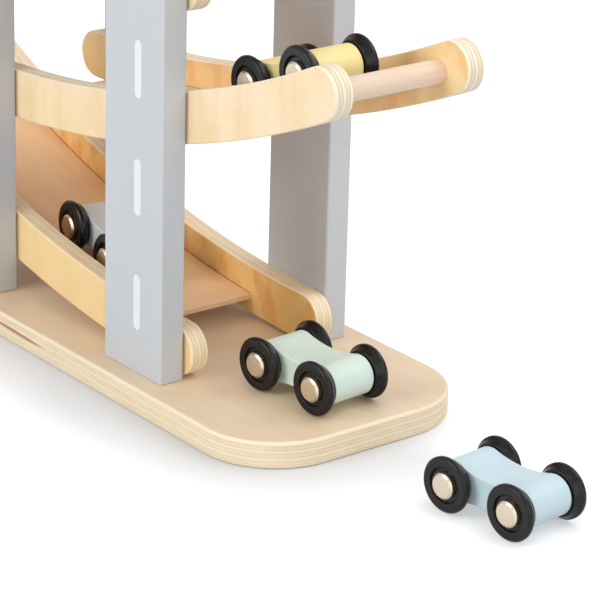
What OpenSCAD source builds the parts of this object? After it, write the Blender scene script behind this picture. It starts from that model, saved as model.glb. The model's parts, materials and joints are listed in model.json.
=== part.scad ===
// Click clack track: a tower of four bent ramps on posts, with four little cars that roll down them.
// Millimetres, Z up. The origin is the middle of the base board's underside.
// X runs along the long side and +Y points to the back.

/* [View] */
// sub-part to draw, or all of them

/* [Base board] */
// length of the base board
base_len = 334; // [310:1:360]
// width of the base board
base_w = 120; // [108:1:140]
// thickness of the base board
base_t = 12; // [9:0.5:16]
// radius of the base board's corners
base_corner_r = 35; // [15:1:45]
// rounding along the base board's edges
base_edge_r = 1.5; // [0.5:0.1:3]

/* [Posts] */
// height of the posts over the base board
post_h = 292; // [285:1:330]
// width of a post along the track
post_w = 42; // [34:1:50]
// thickness of a post across the track
post_t = 12; // [10:0.5:14]
// rounding of the posts' upright edges
post_edge_r = 2; // [1:0.25:4]
// distance from the middle of the base to the middle of a post
post_x = 65; // [58:1:75]

/* [Ramps] */
// clear width between two rails
channel_w = 58; // [54:1:64]
// height of a rail across its arc
rail_h = 22; // [20:0.5:25]
// thickness of a rail
rail_t = 9; // [8:0.5:12]
// radius of the arc of a rail's upper edge
arc_r = 600; // [570:5:680]
// distance from the middle to the lowest point of the arc
arc_low_x = 86; // [78:1:92]
// space under the lowest rails
rail_lift = 1; // [0.5:0.25:4]
// height from one ramp to the next
level_pitch = 80; // [76:0.5:83]
// angle along the arc where the rail's low end rounds off
rail_low_angle = 0.5; // [0.2:0.1:1.5]
// angle along the arc where the rail's high end rounds off
rail_high_angle = 25; // [24.8:0.1:26]
// angle along the arc where the ramp board starts
board_low_angle = 3.9; // [3.5:0.1:5]
// angle along the arc where the ramp board ends
board_high_angle = 22.9; // [22.6:0.05:23.1]
// thickness of a ramp board
board_t = 3; // [2.5:0.25:4]
// depth of the ramp board's top under the rail's upper edge
board_drop = 12.5; // [11.5:0.25:14]
// depth of the grooves that hold a ramp board
groove_depth = 3; // [2:0.25:4]
// diameter of the stop dowel at the high end
stop_d = 10; // [8:0.5:11]
// angle along the arc of the stop dowel
stop_angle = 24.3; // [24.2:0.05:24.5]
// depth of the stop dowel's holes
stop_depth = 6; // [4:0.25:6.5]

/* [Fixings] */
// diameter of the wooden pins between rails and posts
pin_d = 6; // [4:0.5:8]
// depth of a pin in a rail
pin_rail_depth = 6; // [4:0.25:6.5]
// depth of a pin in a post
pin_post_depth = 7; // [5:0.25:8]
// distance of a pin from the middle of its post
pin_spread = 12; // [11.5:0.25:14]
// diameter of the post screws
screw_d = 4; // [3:0.25:5]
// length of the post screws
screw_len = 40; // [30:1:50]
// diameter of the screw heads
screw_head_d = 8; // [7:0.25:9]
// depth of the screw heads under the board's face
screw_sink = 0.8; // [0.4:0.1:1.5]
// distance of a screw from the middle of its post
screw_spread = 6; // [5:0.25:6.5]
// width of the slots in a screw head
screw_slot_w = 1.2; // [0.8:0.1:1.5]
// depth of the slots in a screw head
screw_slot_depth = 1; // [0.6:0.1:1.2]
// length of the slots in a screw head
screw_slot_len = 5; // [4:0.25:6]

/* [Cars] */
// diameter of the wheels
wheel_d = 23.5; // [21:0.25:25]
// width of the round tyre
tyre_w = 5; // [4:0.25:5.5]
// distance between the middles of the tyres
track_w = 31; // [29.5:0.25:33]
// distance between the axles
wheel_base = 34; // [32:0.5:37]
// thickness of the wheel's web outside the tyre's middle
web_out = 0.3; // [0.1:0.1:0.6]
// thickness of the wheel's web inside the tyre's middle
web_in = 1.2; // [0.8:0.1:2]
// diameter of the boss beside the body
boss_d = 16; // [12:0.5:17]
// width of a car body
body_w = 22; // [20:0.5:23]
// diameter of the body's round ends
body_end_d = 17.2; // [15:0.2:18]
// height of the body's waist
waist_h = 12; // [10:0.25:13]
// diameter of the axles
axle_d = 4; // [3:0.25:5]
// diameter of the caps on the axles
cap_d = 11.2; // [9.5:0.1:12]
// thickness of the caps on the axles
cap_t = 2.7; // [2:0.1:3]
// bevel round a cap's face
cap_bevel = 0.7; // [0.3:0.1:1]

/* [Places of the cars] */
// angle along the arc of the yellow car on the second ramp
yellow_angle = 20.8; // [18:0.1:20.9]
// gap between the yellow car's caps and the front rail
yellow_side_gap = 1; // [0.5:0.25:19]
// angle along the arc of the grey car on the first ramp
grey_angle = 8.9; // [8:0.1:16]
// gap between the grey car's caps and the front rail, before its turn
grey_side_gap = 3.6; // [3:0.1:16]
// turn of the grey car on its ramp
grey_turn = -6; // [-7:0.5:7]
// distance from the mint car's middle to the base board's end
mint_end_gap = 38.3; // [35:0.1:42]
// mint car's place across the base board
mint_y = -1.6; // [-8:0.1:8]
// turn of the mint car
mint_turn = 4.5; // [-8:0.1:8]
// distance from the base board's end to the blue car's middle
blue_end_gap = 79; // [73:0.5:93]
// blue car's place across the floor
blue_y = 2.7; // [-20:0.1:20]
// turn of the blue car
blue_turn = 6.2; // [-12:0.1:12]

/* [Clearances] */
// gap round glued pins, dowels and boards
fit_gap = 0.05; // [0.02:0.01:0.1]
// gap at the ends of glued pins and dowels
end_gap = 0.2; // [0.1:0.05:0.4]
// gap round an axle in its car body
run_gap = 0.06; // [0.03:0.01:0.1]
// gap between a wheel boss and the body
side_gap = 0.4; // [0.3:0.05:0.8]
// gap under the wheels
roll_gap = 0.3; // [0.25:0.05:0.5]
// gap round a screw in the base board
screw_gap = 0.2; // [0.1:0.05:0.4]

/* [Hidden] */
round_fn = 64;
small_fn = 32;
arc_fn = 720;
cut = 1;
half = 1 / 2;

rail_in_y = channel_w * half;
rail_out_y = rail_in_y + rail_t;
post_mid_y = rail_out_y + post_t * half;
rail_mid_r = arc_r + rail_h * half;
rail_low_r = arc_r + rail_h;
rail_end_angle = asin(rail_h / arc_r);
board_r = arc_r + board_drop;
groove_y = rail_in_y + groove_depth;

wheel_r = wheel_d * half;
tyre_r = tyre_w * half;
rim_r = wheel_r - tyre_r;
axle_x = wheel_base * half;
wheel_y = track_w * half;
boss_len = wheel_y - body_w * half - side_gap;
shaft_len = track_w + web_out + web_out;
body_r = body_end_d * half;
waist_z = waist_h * half;
waist_tangent_r = (axle_x * axle_x + waist_z * waist_z - body_r * body_r) / (body_end_d - waist_h);
waist_ease_share = 1.01;
waist_r = waist_tangent_r * waist_ease_share;
waist_mid_z = waist_z + waist_r;
waist_reach = sqrt(axle_x * axle_x + waist_mid_z * waist_mid_z);
blend_z = waist_mid_z * body_r / waist_reach;
wheel_path_r = board_r - wheel_r - roll_gap;
car_path_r = sqrt(wheel_path_r * wheel_path_r - axle_x * axle_x);
car_side_y = shaft_len * half + cap_t;
yellow_y = car_side_y + yellow_side_gap - rail_in_y;
grey_y = car_side_y + grey_side_gap - rail_in_y;
mint_x = base_len * half - mint_end_gap;
blue_x = base_len * half + blue_end_gap;

screw_head_h = (screw_head_d - screw_d) * half;
screw_tip_h = screw_d;

wood_base = [0.86, 0.77, 0.64];
wood_rail = [0.95, 0.85, 0.66];
wood_ramp = [0.87, 0.70, 0.56];
wood_stop = [0.92, 0.82, 0.75];
paint_post = [0.74, 0.75, 0.77];
paint_mint = [0.82, 0.88, 0.83];
paint_blue = [0.80, 0.89, 0.92];
paint_yellow = [0.96, 0.91, 0.68];
paint_grey = [0.70, 0.72, 0.71];
plain_black = [0.11, 0.10, 0.11];
plain_steel = [0.80, 0.79, 0.78];

LEVELS = [1, 2, 3, 4];
SIDES = [-1, 1];

// odd ramps rise to the left, even ramps rise to the right
function ramp_dir(level) = level % 2 == 0 ? 1 : -1;
// height of the middle of a ramp's arc
function arc_z(level) = base_t + rail_lift + rail_h + arc_r + (level - 1) * level_pitch;
function pin_x(end, step) = end * post_x + step * pin_spread;
function arc_dx(level, x) = ramp_dir(level) * x + arc_low_x;
function pin_z(level, x) = arc_z(level) - sqrt(rail_mid_r * rail_mid_r - pow(arc_dx(level, x), 2));

// frame of a ramp: origin on the arc's axis, ramp rising towards +X
module on_ramp(level) {
  rotate([0, 0, 90 - 90 * ramp_dir(level)])
    translate([-arc_low_x, 0, arc_z(level)])
      children();
}

// bar bent along the arc, between two radii, two angles and two places across
module arc_bar(r_in, r_out, a_from, a_to, y_from, y_to) {
  rotate([90, 0, 0])
    rotate([0, 0, a_from - 90])
      rotate_extrude(angle = a_to - a_from, $fn = arc_fn)
        translate([r_in, -y_to])
          square([r_out - r_in, y_to - y_from]);
}

// round bar across the ramp at a place on the arc
module cross_bar(r, a, d, y_from, y_to) {
  translate([r * sin(a), y_from, -r * cos(a)])
    rotate([-90, 0, 0])
      cylinder(d = d, h = y_to - y_from, $fn = round_fn);
}

// edge of the base board in section, from the corner's middle outwards
module edge_section() {
  square([base_corner_r - base_edge_r, base_t]);
  translate([0, base_edge_r])
    square([base_corner_r, base_t - base_edge_r - base_edge_r]);
  for (z = [base_edge_r, base_t - base_edge_r])
    translate([base_corner_r - base_edge_r, z])
      circle(r = base_edge_r, $fn = small_fn);
}

// straight edge of the base board, running along +Y
module edge_bar(len) {
  rotate([-90, 0, 0])
    mirror([0, 1, 0])
      linear_extrude(height = len)
        edge_section();
}

module base_slab() {
  flat_x = base_len * half - base_corner_r;
  flat_y = base_w * half - base_corner_r;
  translate([-flat_x, -flat_y, 0])
    cube([flat_x + flat_x, flat_y + flat_y, base_t]);
  translate([flat_x, flat_y, 0])
    rotate_extrude(angle = 90, $fn = round_fn)
      edge_section();
  translate([-flat_x, flat_y, 0])
    rotate([0, 0, 90])
      rotate_extrude(angle = 90, $fn = round_fn)
        edge_section();
  translate([-flat_x, -flat_y, 0])
    rotate([0, 0, 180])
      rotate_extrude(angle = 90, $fn = round_fn)
        edge_section();
  translate([flat_x, -flat_y, 0])
    rotate([0, 0, 270])
      rotate_extrude(angle = 90, $fn = round_fn)
        edge_section();
  translate([flat_x, -flat_y, 0])
    edge_bar(flat_y + flat_y);
  translate([-flat_x, flat_y, 0])
    rotate([0, 0, 180])
      edge_bar(flat_y + flat_y);
  translate([flat_x, flat_y, 0])
    rotate([0, 0, 90])
      edge_bar(flat_x + flat_x);
  translate([-flat_x, -flat_y, 0])
    rotate([0, 0, 270])
      edge_bar(flat_x + flat_x);
}

module at_screws(end, side) {
  for (step = SIDES)
    translate([end * post_x + step * screw_spread, side * post_mid_y, screw_sink])
      children();
}

module screw_hole() {
  translate([0, 0, -screw_sink - cut])
    cylinder(d = screw_head_d + screw_gap + screw_gap, h = screw_sink + cut, $fn = small_fn);
  cylinder(
    d1 = screw_head_d + screw_gap + screw_gap,
    d2 = screw_d + screw_gap + screw_gap,
    h = screw_head_h,
    $fn = small_fn
  );
  cylinder(d = screw_d + screw_gap + screw_gap, h = base_t, $fn = small_fn);
}

module base_board() {
  color(wood_base)
    difference() {
      base_slab();
      for (end = SIDES, side = SIDES)
        at_screws(end, side)
          screw_hole();
    }
}

module screw() {
  difference() {
    union() {
      cylinder(d1 = screw_head_d, d2 = screw_d, h = screw_head_h, $fn = small_fn);
      cylinder(d = screw_d, h = screw_len - screw_tip_h, $fn = small_fn);
      translate([0, 0, screw_len - screw_tip_h])
        cylinder(d1 = screw_d, d2 = 0, h = screw_tip_h, $fn = small_fn);
    }
    for (turn = [0, 90])
      rotate([0, 0, turn])
        translate([-screw_slot_len * half, -screw_slot_w * half, -cut])
          cube([screw_slot_len, screw_slot_w, screw_slot_depth + cut]);
  }
}

module post_screws(end, side) {
  color(plain_steel)
    at_screws(end, side)
      screw();
}

module post_bar() {
  long = post_w - post_edge_r - post_edge_r;
  short = post_t - post_edge_r - post_edge_r;
  translate([-post_w * half, -short * half, 0])
    cube([post_w, short, post_h]);
  translate([-long * half, -post_t * half, 0])
    cube([long, post_t, post_h]);
  for (sx = SIDES, sy = SIDES)
    translate([sx * long * half, sy * short * half, 0])
      cylinder(r = post_edge_r, h = post_h, $fn = small_fn);
}

// wooden pins, or their holes, at one crossing of a rail and a post
module crossing_pins(level, end, side, gap, end_space) {
  deep = pin_post_depth + end_space;
  shallow = pin_rail_depth + end_space;
  y_from = side > 0 ? rail_out_y - shallow : -rail_out_y - deep;
  for (step = SIDES)
    translate([pin_x(end, step), y_from, pin_z(level, pin_x(end, step))])
      rotate([-90, 0, 0])
        cylinder(d = pin_d + gap + gap, h = deep + shallow, $fn = small_fn);
}

module post(end, side) {
  color(paint_post)
    difference() {
      translate([end * post_x, side * post_mid_y, base_t])
        post_bar();
      for (level = LEVELS)
        crossing_pins(level, end, side, fit_gap, end_gap);
      at_screws(end, side)
        cylinder(d = screw_d + fit_gap + fit_gap, h = screw_len + end_gap, $fn = small_fn);
    }
}

module ramp_board(level) {
  edge_y = groove_y - end_gap;
  color(wood_ramp)
    on_ramp(level)
      arc_bar(board_r, board_r + board_t, board_low_angle, board_high_angle, -edge_y, edge_y);
}

// what is cut from a rail's square end to round it off
module rail_end_waste(a, way, y_from) {
  rotate([0, -a, 0])
    translate([0, y_from - cut, -rail_mid_r])
      difference() {
        translate([way > 0 ? 0 : -rail_h - rail_h, 0, -rail_h])
          cube([rail_h + rail_h, rail_t + cut + cut, rail_h + rail_h]);
        translate([0, -cut, 0])
          rotate([-90, 0, 0])
            cylinder(d = rail_h, h = rail_t + cut + cut + cut + cut, $fn = round_fn);
      }
}

module ramp_rail(level, side) {
  local = side * ramp_dir(level);
  y_from = local > 0 ? rail_in_y : -rail_out_y;
  groove_from = local > 0 ? rail_in_y - cut : -groove_y;
  stop_from = local > 0 ? rail_in_y - cut : -rail_in_y - stop_depth;
  color(wood_rail)
    difference() {
      on_ramp(level)
        difference() {
          arc_bar(
            arc_r,
            rail_low_r,
            rail_low_angle - rail_end_angle,
            rail_high_angle + rail_end_angle,
            y_from,
            y_from + rail_t
          );
          rail_end_waste(rail_low_angle, -1, y_from);
          rail_end_waste(rail_high_angle, 1, y_from);
          arc_bar(
            board_r - fit_gap,
            board_r + board_t + fit_gap,
            board_low_angle,
            board_high_angle,
            groove_from,
            groove_from + groove_depth + cut
          );
          cross_bar(
            rail_mid_r,
            stop_angle,
            stop_d + fit_gap + fit_gap,
            stop_from,
            stop_from + stop_depth + cut
          );
        }
      for (end = SIDES)
        crossing_pins(level, end, side, fit_gap, end_gap);
    }
}

module ramp_stop_dowel(level) {
  end_y = rail_in_y + stop_depth - end_gap;
  color(wood_stop)
    on_ramp(level)
      cross_bar(rail_mid_r, stop_angle, stop_d, -end_y, end_y);
}

module ramp_pins(level) {
  color(wood_stop)
    for (end = SIDES, side = SIDES)
      crossing_pins(level, end, side, 0, 0);
}

// car body in its own frame: origin between the axles, nose towards +X
module car_body() {
  rotate([90, 0, 0])
    translate([0, 0, -body_w * half])
      difference() {
        union() {
          difference() {
            translate([-axle_x, -blend_z, 0])
              cube([wheel_base, blend_z + blend_z, body_w]);
            for (up = SIDES)
              translate([0, up * waist_mid_z, -cut])
                cylinder(r = waist_r, h = body_w + cut + cut, $fn = arc_fn);
          }
          for (nose = SIDES)
            translate([nose * axle_x, 0, 0])
              cylinder(r = body_r, h = body_w, $fn = round_fn);
        }
        for (nose = SIDES)
          translate([nose * axle_x, 0, -cut])
            cylinder(d = axle_d + run_gap + run_gap, h = body_w + cut + cut, $fn = small_fn);
      }
}

// cap of an axle, facing +Z
module axle_cap() {
  cylinder(d = cap_d, h = cap_t - cap_bevel, $fn = round_fn);
  translate([0, 0, cap_t - cap_bevel])
    cylinder(d1 = cap_d, d2 = cap_d - cap_bevel - cap_bevel, h = cap_bevel, $fn = round_fn);
}

module car_axle(nose) {
  translate([nose * axle_x, 0, 0])
    rotate([-90, 0, 0]) {
      translate([0, 0, -shaft_len * half])
        cylinder(d = axle_d, h = shaft_len, $fn = small_fn);
      translate([0, 0, shaft_len * half])
        axle_cap();
      translate([0, 0, -shaft_len * half])
        rotate([180, 0, 0])
          axle_cap();
    }
}

// wheel with its outer face towards +Z and the tyre's middle at the origin
module wheel() {
  difference() {
    union() {
      rotate_extrude($fn = round_fn)
        translate([rim_r, 0])
          circle(r = tyre_r, $fn = small_fn);
      translate([0, 0, -web_in])
        cylinder(r = rim_r, h = web_in + web_out, $fn = round_fn);
      translate([0, 0, -boss_len])
        cylinder(d = boss_d, h = boss_len, $fn = round_fn);
    }
    translate([0, 0, -boss_len - cut])
      cylinder(d = axle_d + fit_gap + fit_gap, h = boss_len + web_out + cut + cut, $fn = small_fn);
  }
}

module car_wheels(nose) {
  translate([nose * axle_x, wheel_y, 0])
    rotate([-90, 0, 0])
      wheel();
  translate([nose * axle_x, -wheel_y, 0])
    rotate([90, 0, 0])
      wheel();
}

module at_mint() {
  translate([mint_x, mint_y, base_t + roll_gap + wheel_r])
    rotate([0, 0, mint_turn])
      children();
}

module at_blue() {
  translate([blue_x, blue_y, roll_gap + wheel_r])
    rotate([0, 0, blue_turn])
      children();
}

module at_yellow() {
  on_ramp(2)
    rotate([0, -yellow_angle, 0])
      translate([0, yellow_y, -car_path_r])
        children();
}

module at_grey() {
  on_ramp(1)
    rotate([0, -grey_angle, 0])
      translate([0, -grey_y, -car_path_r])
        rotate([0, 0, 180 + grey_turn])
          children();
}

module post_front_left() post(-1, -1);
module post_front_right() post(1, -1);
module post_back_left() post(-1, 1);
module post_back_right() post(1, 1);
module post_front_left_screws() post_screws(-1, -1);
module post_front_right_screws() post_screws(1, -1);
module post_back_left_screws() post_screws(-1, 1);
module post_back_right_screws() post_screws(1, 1);

module ramp_1_board() ramp_board(1);
module ramp_1_front_rail() ramp_rail(1, -1);
module ramp_1_back_rail() ramp_rail(1, 1);
module ramp_1_stop_dowel() ramp_stop_dowel(1);
module ramp_1_pins() ramp_pins(1);
module ramp_2_board() ramp_board(2);
module ramp_2_front_rail() ramp_rail(2, -1);
module ramp_2_back_rail() ramp_rail(2, 1);
module ramp_2_stop_dowel() ramp_stop_dowel(2);
module ramp_2_pins() ramp_pins(2);
module ramp_3_board() ramp_board(3);
module ramp_3_front_rail() ramp_rail(3, -1);
module ramp_3_back_rail() ramp_rail(3, 1);
module ramp_3_stop_dowel() ramp_stop_dowel(3);
module ramp_3_pins() ramp_pins(3);
module ramp_4_board() ramp_board(4);
module ramp_4_front_rail() ramp_rail(4, -1);
module ramp_4_back_rail() ramp_rail(4, 1);
module ramp_4_stop_dowel() ramp_stop_dowel(4);
module ramp_4_pins() ramp_pins(4);

module mint_body() color(paint_mint) at_mint() car_body();
module mint_front_axle() color(plain_steel) at_mint() car_axle(1);
module mint_rear_axle() color(plain_steel) at_mint() car_axle(-1);
module mint_front_wheels() color(plain_black) at_mint() car_wheels(1);
module mint_rear_wheels() color(plain_black) at_mint() car_wheels(-1);
module blue_body() color(paint_blue) at_blue() car_body();
module blue_front_axle() color(plain_steel) at_blue() car_axle(1);
module blue_rear_axle() color(plain_steel) at_blue() car_axle(-1);
module blue_front_wheels() color(plain_black) at_blue() car_wheels(1);
module blue_rear_wheels() color(plain_black) at_blue() car_wheels(-1);
module yellow_body() color(paint_yellow) at_yellow() car_body();
module yellow_front_axle() color(plain_steel) at_yellow() car_axle(1);
module yellow_rear_axle() color(plain_steel) at_yellow() car_axle(-1);
module yellow_front_wheels() color(plain_black) at_yellow() car_wheels(1);
module yellow_rear_wheels() color(plain_black) at_yellow() car_wheels(-1);
module grey_body() color(paint_grey) at_grey() car_body();
module grey_front_axle() color(plain_steel) at_grey() car_axle(1);
module grey_rear_axle() color(plain_steel) at_grey() car_axle(-1);
module grey_front_wheels() color(plain_black) at_grey() car_wheels(1);
module grey_rear_wheels() color(plain_black) at_grey() car_wheels(-1);

base_board();
post_front_left();
post_front_right();
post_back_left();
post_back_right();
post_front_left_screws();
post_front_right_screws();
post_back_left_screws();
post_back_right_screws();
ramp_1_board();
ramp_1_front_rail();
ramp_1_back_rail();
ramp_1_stop_dowel();
ramp_1_pins();
ramp_2_board();
ramp_2_front_rail();
ramp_2_back_rail();
ramp_2_stop_dowel();
ramp_2_pins();
ramp_3_board();
ramp_3_front_rail();
ramp_3_back_rail();
ramp_3_stop_dowel();
ramp_3_pins();
ramp_4_board();
ramp_4_front_rail();
ramp_4_back_rail();
ramp_4_stop_dowel();
ramp_4_pins();
mint_body();
mint_front_axle();
mint_rear_axle();
mint_front_wheels();
mint_rear_wheels();
blue_body();
blue_front_axle();
blue_rear_axle();
blue_front_wheels();
blue_rear_wheels();
yellow_body();
yellow_front_axle();
yellow_rear_axle();
yellow_front_wheels();
yellow_rear_wheels();
grey_body();
grey_front_axle();
grey_rear_axle();
grey_front_wheels();
grey_rear_wheels();
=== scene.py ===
"""Dresses a click clack track toy: plywood ramps on painted posts, with four little cars.

Lengths are metres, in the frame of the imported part: X along the base board, +Y to the back, Z up.
"""

import json
import logging
import math
from abc import ABC, abstractmethod
from dataclasses import dataclass
from enum import Enum
from typing import Callable, Dict, List, Mapping, NamedTuple, Optional, Sequence, Tuple, Union

import bmesh
import bpy
from mathutils import Matrix, Vector
from mathutils.geometry import delaunay_2d_cdt


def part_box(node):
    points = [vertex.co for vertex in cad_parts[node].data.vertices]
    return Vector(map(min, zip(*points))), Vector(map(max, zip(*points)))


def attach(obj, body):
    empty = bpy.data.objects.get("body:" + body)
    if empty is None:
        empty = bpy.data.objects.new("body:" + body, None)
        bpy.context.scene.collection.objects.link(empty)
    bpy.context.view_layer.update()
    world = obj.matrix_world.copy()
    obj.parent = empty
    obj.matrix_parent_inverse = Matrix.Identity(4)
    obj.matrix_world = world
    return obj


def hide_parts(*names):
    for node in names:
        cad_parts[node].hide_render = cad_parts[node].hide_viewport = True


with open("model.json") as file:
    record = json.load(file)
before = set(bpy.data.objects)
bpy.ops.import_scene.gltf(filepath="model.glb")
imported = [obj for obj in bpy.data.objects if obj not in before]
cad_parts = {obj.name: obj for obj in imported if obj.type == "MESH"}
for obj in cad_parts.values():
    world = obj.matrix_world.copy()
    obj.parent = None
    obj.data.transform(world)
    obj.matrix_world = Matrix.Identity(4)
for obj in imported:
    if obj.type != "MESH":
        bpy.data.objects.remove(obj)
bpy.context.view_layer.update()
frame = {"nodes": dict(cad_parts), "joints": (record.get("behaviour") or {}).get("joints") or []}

log = logging.getLogger("track_toy")

MM = 0.001
TO_MM = 1000.0
SHARP = math.radians(35.0)
WELD = 1e-7
SUPPORT = 0.35 * MM
TIGHTEST = 0.02 * MM
SNAP = 1e-9
HOLE_SHARE = 0.98
OWN = "own"
EDGE = "edge"
RAMPS = 4

Colour = Tuple[float, float, float, float]
Flat = Tuple[float, float]
Row = Tuple[float, float, float]
Outline = Callable[[float], List[Flat]]
Piece = bpy.types.Object

WHITE: Colour = (1.0, 1.0, 1.0, 1.0)
BLACK: Colour = (0.0, 0.0, 0.0, 1.0)


@dataclass(frozen=True)
class Plan:
    """Sizes that several pieces and finishes share, in millimetres."""

    base_length: float = 334.0
    base_width: float = 120.0
    base_thick: float = 12.0
    base_corner: float = 35.0
    post_x: float = 65.0
    post_y: float = 44.0
    post_width: float = 42.0
    channel: float = 58.0
    rail_thick: float = 9.0
    board_thick: float = 3.0
    board_reach: float = 31.8


PLAN = Plan()


class Axis(Enum):
    """A direction of a piece's own frame, or of the toy's frame."""

    X = 0
    Y = 1
    Z = 2

    def first(self, places: Sequence["Wire"]) -> List["Wire"]:
        """The three places with this axis put first."""
        return [places[self.value]] + [places[axis.value] for axis in Axis if axis is not self]


class Source(Enum):
    """Where a finish reads its places from."""

    OBJECT = "toy frame"
    OWN = "piece frame"


class End(Enum):
    """The two ends of the toy, and of a car."""

    LEFT = -1
    RIGHT = 1


class Side(Enum):
    """The two long sides of the toy, and of a car."""

    FRONT = -1
    BACK = 1


class Axle(Enum):
    """The two axles of a car."""

    FRONT = "front"
    REAR = "rear"


def tint(red: int, green: int, blue: int) -> Colour:
    """Turns a colour as seen on a screen into the renderer's linear one.

    Args:
        red: red, 0 to 255.
        green: green, 0 to 255.
        blue: blue, 0 to 255.

    Returns:
        The linear colour, with alpha 1.
    """

    def linear(part: int) -> float:
        """One channel of the colour."""
        share = part / 255.0
        return share / 12.92 if share <= 0.04045 else ((share + 0.055) / 1.055) ** 2.4

    return linear(red), linear(green), linear(blue), 1.0


def two_terms(operation: str, reflected: bool = False) -> Callable[["Wire", "Term"], "Wire"]:
    """Makes an operator that adds a Math node of two terms.

    Args:
        operation: Blender's name of the operation.
        reflected: whether the other term comes first.

    Returns:
        The operator, as a method.
    """

    def method(self: "Wire", other: "Term") -> "Wire":
        """Adds the node."""
        terms = (other, self) if reflected else (self, other)
        return self.graph.math(operation, *terms)

    return method


def one_term(operation: str) -> Callable[["Wire"], "Wire"]:
    """Makes a method that adds a Math node of one term.

    Args:
        operation: Blender's name of the operation.

    Returns:
        The method.
    """

    def method(self: "Wire") -> "Wire":
        """Adds the node."""
        return self.graph.math(operation, self)

    return method


class Wire:
    """One output socket, with Python operators that add Math nodes."""

    __add__ = two_terms("ADD")
    __radd__ = two_terms("ADD", reflected=True)
    __sub__ = two_terms("SUBTRACT")
    __rsub__ = two_terms("SUBTRACT", reflected=True)
    __mul__ = two_terms("MULTIPLY")
    __rmul__ = two_terms("MULTIPLY", reflected=True)
    __truediv__ = two_terms("DIVIDE")
    __pow__ = two_terms("POWER")
    __gt__ = two_terms("GREATER_THAN")
    low = two_terms("MINIMUM")
    high = two_terms("MAXIMUM")
    __abs__ = one_term("ABSOLUTE")
    floor = one_term("FLOOR")
    fract = one_term("FRACT")
    sin = one_term("SINE")
    cos = one_term("COSINE")
    sign = one_term("SIGN")
    root = one_term("SQRT")

    def __init__(self, graph: "Graph", socket: bpy.types.NodeSocket) -> None:
        """Keeps the tree and the socket."""
        self.graph = graph
        self.socket = socket

    def unit(self) -> "Wire":
        """The value kept between 0 and 1."""
        return self.low(1.0).high(0.0)

    def rise(self, start: float, stop: float) -> "Wire":
        """A smooth step from 0 at start to 1 at stop."""
        span = {"Value": self, "From Min": start, "From Max": stop}
        return self.graph.node("ShaderNodeMapRange", span, interpolation_type="SMOOTHSTEP")[0]

    def mark(self, start: float, stop: float, share: float) -> "Wire":
        """A smooth step from 0 at start to a share at stop."""
        return self.rise(start, stop) * share

    def over(self, start: float, gain: float) -> "Wire":
        """What lies over a start, times a gain."""
        return (self - start).unit() * gain

    def swing(self, size: float) -> "Wire":
        """Noise about 0.5 made to swing about 0."""
        return (self - 0.5) * size


Term = Union[Wire, float, int]


class Made:
    """A node that has been added, whose outputs are wires."""

    def __init__(self, graph: "Graph", node: bpy.types.Node) -> None:
        """Keeps the tree and the node."""
        self.graph = graph
        self.node = node

    def __getitem__(self, key: Union[int, str]) -> Wire:
        """The output with that name or number."""
        return Wire(self.graph, self.node.outputs[key])


class Graph:
    """A shader or geometry tree, with one way to add a node."""

    def __init__(self, tree: bpy.types.NodeTree) -> None:
        """Keeps the tree."""
        self.tree = tree

    def node(
        self,
        kind: str,
        sockets: Optional[Mapping[Union[int, str], object]] = None,
        **settings: object,
    ) -> Made:
        """Adds a node.

        Args:
            kind: Blender's name of the node type.
            sockets: values or wires of the node's inputs, by name or number.
            settings: the node's own settings, which are set first.

        Returns:
            The node, with its outputs as wires.
        """
        made = self.tree.nodes.new(kind)
        for name, value in settings.items():
            setattr(made, name, value)
        for name, value in (sockets or {}).items():
            self.feed(made.inputs[name], value)
        return Made(self, made)

    def feed(self, socket: bpy.types.NodeSocket, value: object) -> None:
        """Links a wire to a socket, or sets its value.

        Args:
            socket: the input socket.
            value: a wire, or a plain value.
        """
        if isinstance(value, Wire):
            self.tree.links.new(value.socket, socket)
        else:
            socket.default_value = value

    def math(self, operation: str, *terms: Term) -> Wire:
        """Adds a Math node."""
        return self.node("ShaderNodeMath", dict(enumerate(terms)), operation=operation)[0]

    def vector(self, x: Term, y: Term, z: Term) -> Wire:
        """Joins three values into a vector."""
        return self.node("ShaderNodeCombineXYZ", {"X": x, "Y": y, "Z": z})[0]

    def parts(self, vector: Wire) -> Tuple[Wire, Wire, Wire]:
        """Splits a vector into its three values."""
        made = self.node("ShaderNodeSeparateXYZ", {0: vector})
        return made["X"], made["Y"], made["Z"]

    def places(self, source: Source) -> Tuple[Wire, Wire, Wire]:
        """Places on the surface, in millimetres.

        Args:
            source: the toy's frame or the piece's own.

        Returns:
            The place along each axis.
        """
        if source is Source.OBJECT:
            vector = self.node("ShaderNodeTexCoord")["Object"]
        else:
            vector = self.node("ShaderNodeAttribute", attribute_name=OWN)["Vector"]
        x, y, z = self.parts(vector)
        return x * TO_MM, y * TO_MM, z * TO_MM

    def edge(self) -> Wire:
        """1 along a piece's rounded edges, 0 on its faces."""
        return self.node("ShaderNodeAttribute", attribute_name=EDGE)["Fac"]

    def mix(self, share: Term, first: object, second: object) -> Wire:
        """Mixes two colours.

        Args:
            share: share of the second colour.
            first: a colour or a wire.
            second: a colour or a wire.

        Returns:
            The mixed colour.
        """
        colours = {0: share, 6: first, 7: second}
        return self.node("ShaderNodeMix", colours, data_type="RGBA", blend_type="MIX")[2]


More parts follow.
